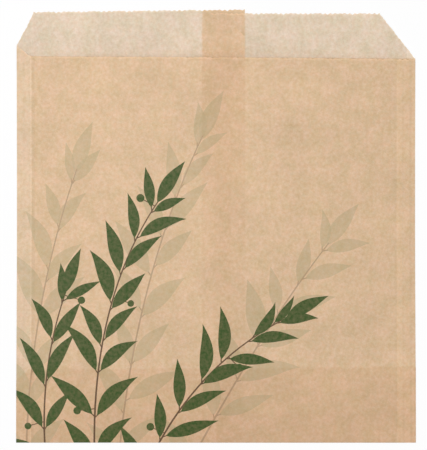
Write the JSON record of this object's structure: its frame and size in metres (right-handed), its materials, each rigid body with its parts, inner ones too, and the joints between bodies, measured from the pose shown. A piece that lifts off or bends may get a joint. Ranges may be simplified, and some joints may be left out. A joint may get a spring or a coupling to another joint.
{
  "type": "greaseproof paper fry bag",
  "caption": "Flat greaseproof paper bag for a portion of fries, with a glued seam down the back, a glued bottom flap and a longer back lip at the open mouth.",
  "frame": {"origin": "centre of the bag's bounding box, at the level of the surface that it lies on", "axes": "+Y towards the open mouth, +X to the right seen from the front, +Z out of the printed front"},
  "size_m": [0.12, 0.13, 0.0067],
  "materials": {
    "kraft_greaseproof": "matt unbleached greaseproof paper with a slight calendered sheen, printed with green and brown sprigs"
  },
  "bodies": {
    "root": {"fry_bag": "kraft_greaseproof"}
  },
  "joints": []
}
